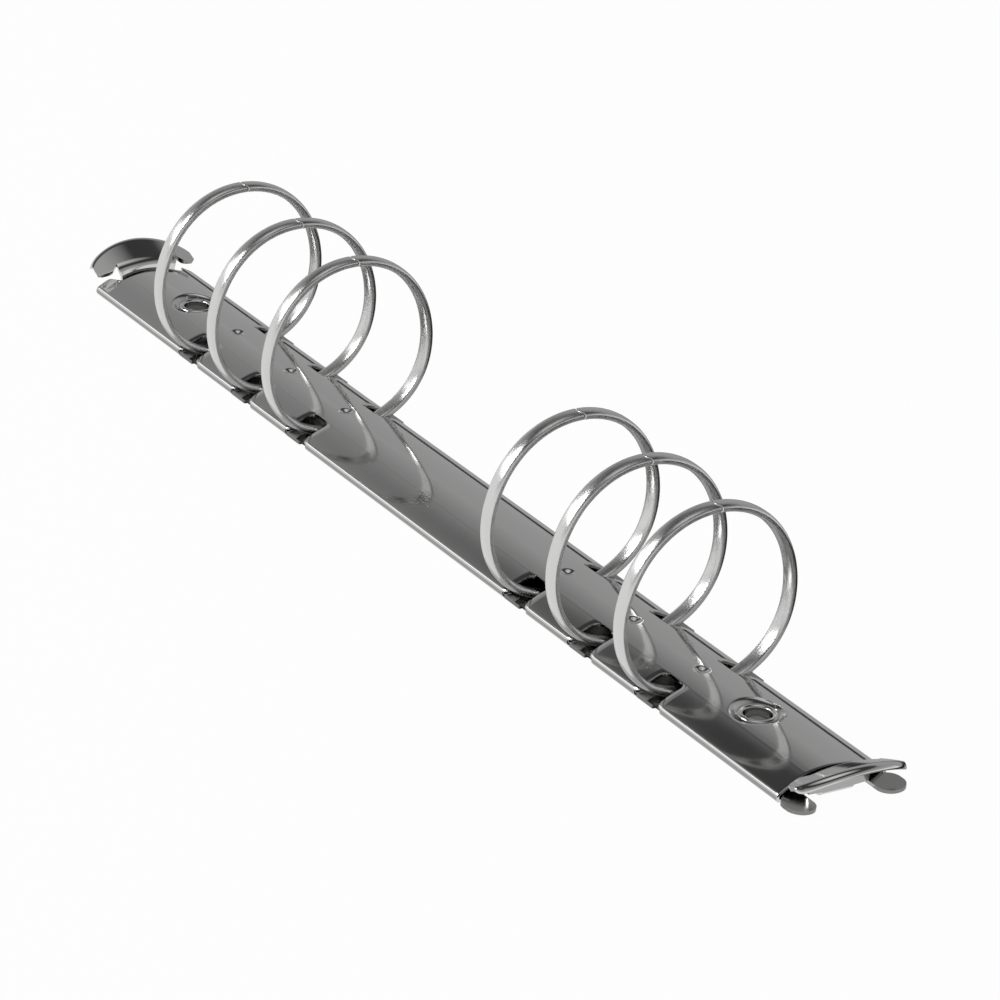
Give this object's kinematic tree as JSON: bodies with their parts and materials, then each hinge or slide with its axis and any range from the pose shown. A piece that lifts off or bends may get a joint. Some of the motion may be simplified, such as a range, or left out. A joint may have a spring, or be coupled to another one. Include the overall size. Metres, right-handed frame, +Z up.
{
  "type": "binder ring",
  "caption": "Binder ring mechanism: arched nickel-plated cover plate with two groups of round rings, thumb levers at both ends and eyelets for fixing it to a cover.",
  "frame": {"origin": "middle of the mechanism, on the surface it is fixed to", "axes": "+X along the cover plate towards the right lever, +Y towards the far side, +Z up out of the surface"},
  "size_m": [0.2282, 0.0328, 0.0324],
  "materials": {
    "nickel_cover": "mirror nickel plate",
    "nickel_plate": "bright nickel plate",
    "nickel_lever": "mirror nickel plate",
    "nickel_wire": "bright nickel plate with fine draw marks",
    "nickel_eyelet": "bright nickel plate"
  },
  "bodies": {
    "cover": {"cover_plate": "nickel_cover", "left_eyelet": "nickel_eyelet", "right_eyelet": "nickel_eyelet"},
    "near_plate": {"near_hinge_plate": "nickel_plate", "near_ring_half_1": "nickel_wire", "near_ring_half_2": "nickel_wire", "near_ring_half_3": "nickel_wire", "near_ring_half_4": "nickel_wire", "near_ring_half_5": "nickel_wire", "near_ring_half_6": "nickel_wire"},
    "far_plate": {"far_hinge_plate": "nickel_plate", "far_ring_half_1": "nickel_wire", "far_ring_half_2": "nickel_wire", "far_ring_half_3": "nickel_wire", "far_ring_half_4": "nickel_wire", "far_ring_half_5": "nickel_wire", "far_ring_half_6": "nickel_wire"},
    "left_lever": {"left_lever": "nickel_lever"},
    "right_lever": {"right_lever": "nickel_lever"}
  },
  "joints": [
    {"name": "near_plate_swing", "type": "hinge", "parent": "cover", "child": "near_plate", "pos_m": [0, -0.0091, 0.00088], "axis": [1, 0, 0], "range_deg": [0, 16]},
    {"name": "far_plate_swing", "type": "hinge", "parent": "cover", "child": "far_plate", "pos_m": [0, 0.0091, 0.00088], "axis": [1, 0, 0], "range_deg": [-16, 0]},
    {"name": "right_lever_tilt", "type": "hinge", "parent": "cover", "child": "right_lever", "pos_m": [0.1076, 0, 0.0012], "axis": [0, 1, 0], "range_deg": [0, 16]},
    {"name": "left_lever_tilt", "type": "hinge", "parent": "cover", "child": "left_lever", "pos_m": [-0.105, 0, 0.0012], "axis": [0, -1, 0], "range_deg": [0, 16]}
  ],
  "couplings": [
    {"joint": "far_plate_swing", "follows": "near_plate_swing", "ratio": -1},
    {"joint": "right_lever_tilt", "follows": "near_plate_swing", "ratio": 1},
    {"joint": "left_lever_tilt", "follows": "near_plate_swing", "ratio": 1}
  ]
}
